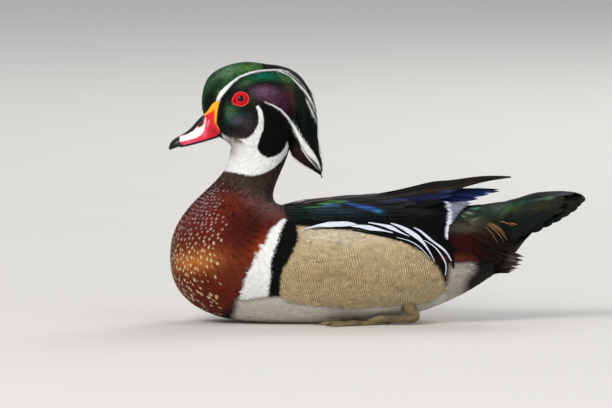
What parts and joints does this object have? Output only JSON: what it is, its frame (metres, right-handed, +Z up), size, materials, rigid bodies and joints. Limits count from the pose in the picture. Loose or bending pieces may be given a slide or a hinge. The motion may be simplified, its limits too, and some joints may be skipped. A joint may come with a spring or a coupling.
{
  "type": "wood duck",
  "caption": "Drake wood duck afloat, head up and turned neither way, crest hanging, wings folded on the back and feet tucked under a belly that rests flat.",
  "frame": {"origin": "centre of the bounding box in plan, on the floor that the belly rests on", "axes": "the bird faces -X, its left side is -Y, +Z is up"},
  "size_m": [0.3467, 0.125, 0.2168],
  "materials": {
    "head": "glossy green feathers",
    "bill": "smooth bare horn, red",
    "bill_dark": "smooth bare horn, black",
    "eye": "wet and glossy",
    "neck": "short dull feathers",
    "breast": "chestnut, buff and white feathers",
    "wing": "black and blue vanes",
    "tail": "black vanes",
    "leg": "bare scaled skin, dull yellow"
  },
  "bodies": {
    "root": {"head": "head", "bill_upper": "bill", "bill_lower": "bill_dark", "eye_left": "eye", "eye_right": "eye", "neck": "neck", "torso": "breast", "wing_left": "wing", "wing_right": "wing", "tail": "tail", "leg_left": "leg", "leg_right": "leg"}
  },
  "joints": []
}
